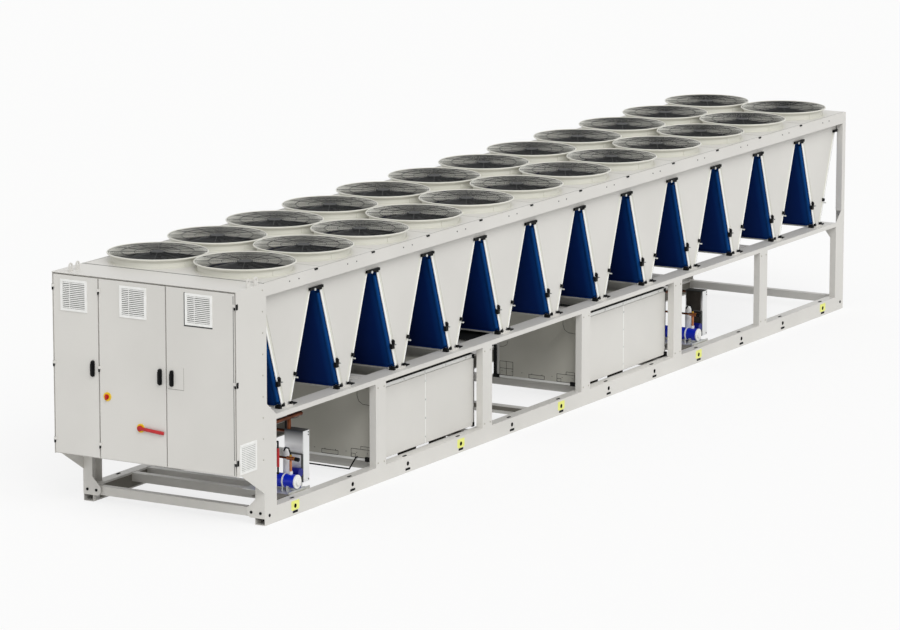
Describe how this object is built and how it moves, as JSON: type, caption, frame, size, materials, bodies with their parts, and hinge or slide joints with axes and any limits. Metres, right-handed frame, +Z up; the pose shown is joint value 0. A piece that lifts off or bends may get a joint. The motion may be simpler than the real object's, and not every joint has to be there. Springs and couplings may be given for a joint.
{
  "type": "air cooled water chiller",
  "caption": "Long air cooled water chiller with V-shaped coil modules under two rows of guarded fans, an open base frame and a control cabinet with hinged doors at one end.",
  "frame": {"origin": "middle of the bounding box at floor level", "axes": "+X along the length away from the control cabinet, +Z up, -Y the long side in the picture"},
  "size_m": [13.77, 2.212, 2.552],
  "materials": {
    "paint": "warm light grey powder coat",
    "ring_paint": "ivory powder coat",
    "guard_wire": "light grey coated wire",
    "vent_plastic": "off-white moulded grille",
    "coil_coating": "navy epoxy coated fins",
    "header_coating": "blue epoxy coated tube",
    "black_plastic": "black moulded plastic",
    "fan_black": "satin black",
    "yellow_plastic": "yellow plastic",
    "red_plastic": "red plastic",
    "grey_panel": "grey sheet",
    "tray_zinc": "zinc coated sheet",
    "plate_steel": "bare stainless plates",
    "drier_blue": "cobalt blue enamel",
    "cap_white": "white enamel",
    "copper": "dull copper"
  },
  "bodies": {
    "chassis": {"base_rails": "paint", "base_cross_members": "paint", "front_corner_posts": "paint", "front_gusset_plates": "paint", "side_posts": "paint", "rear_corner_posts": "paint", "mid_beams": "paint", "mid_cross_beams": "paint", "v_feet": "paint", "v_panels": "paint", "coil_end_plates": "paint", "fan_deck": "paint", "deck_fascias": "paint", "cabinet_shell": "paint", "cabinet_brackets": "paint", "lifting_eyes": "paint", "enclosure_doors": "paint", "fan_diffusers": "ring_paint", "fan_guards_right": "guard_wire", "fan_guards_left": "guard_wire", "side_vents": "vent_plastic", "condenser_coils": "coil_coating", "coil_headers": "header_coating", "coil_clips": "black_plastic", "door_hinges": "black_plastic", "enclosure_feet": "black_plastic", "fan_motors": "fan_black", "fan_rotors": "fan_black", "compressor_enclosures": "grey_panel", "equipment_trays": "tray_zinc", "heat_exchangers": "plate_steel", "filter_driers": "drier_blue", "drier_caps": "cap_white", "copper_pipes": "copper"},
    "door_left_body": {"door_left": "paint", "vent_left": "vent_plastic", "handle_left": "black_plastic"},
    "door_middle_body": {"door_middle": "paint", "vent_middle": "vent_plastic", "handle_middle": "black_plastic", "switch_bosses": "yellow_plastic", "switch_lever": "red_plastic", "stop_button": "red_plastic"},
    "door_right_body": {"door_right": "paint", "vent_right": "vent_plastic", "handle_right": "black_plastic", "display_hatch": "paint"}
  },
  "joints": [
    {"name": "door_left_hinge", "type": "hinge", "parent": "chassis", "child": "door_left_body", "pos_m": [-6.85, 1.09, 1.52], "axis": [0, 0, -1], "range_deg": [0, 110]},
    {"name": "door_middle_hinge", "type": "hinge", "parent": "chassis", "child": "door_middle_body", "pos_m": [-6.85, 0.5379, 1.52], "axis": [0, 0, -1], "range_deg": [0, 110]},
    {"name": "door_right_hinge", "type": "hinge", "parent": "chassis", "child": "door_right_body", "pos_m": [-6.85, -1.09, 1.52], "axis": [0, 0, 1], "range_deg": [0, 110]}
  ]
}
